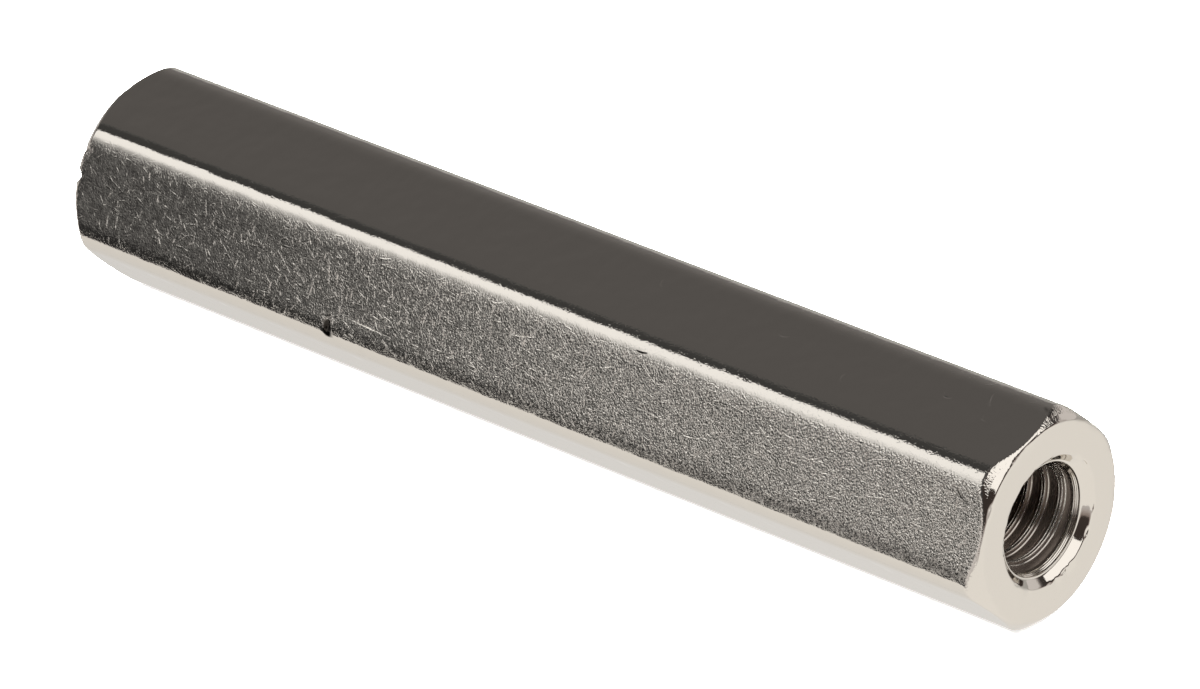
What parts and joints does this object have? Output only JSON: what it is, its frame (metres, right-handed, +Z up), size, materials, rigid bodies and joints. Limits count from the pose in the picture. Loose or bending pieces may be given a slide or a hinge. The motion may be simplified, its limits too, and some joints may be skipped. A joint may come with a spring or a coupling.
{
  "type": "hex standoff",
  "caption": "Hexagonal metal standoff with chamfered ends and a blind tapped hole in each end, for spacing boards and panels apart.",
  "frame": {"origin": "under the middle of the standoff, on the surface that its bottom flat lies on", "axes": "+X along the bar's axis, out of one tapped end; +Z up, square to the flat that it lies on; +Y across the corners"},
  "size_m": [0.04, 0.0076, 0.007],
  "materials": {
    "nickel_plate": "bright nickel plating on brass, with fine tumbling scratches"
  },
  "bodies": {
    "root": {"standoff": "nickel_plate"}
  },
  "joints": []
}
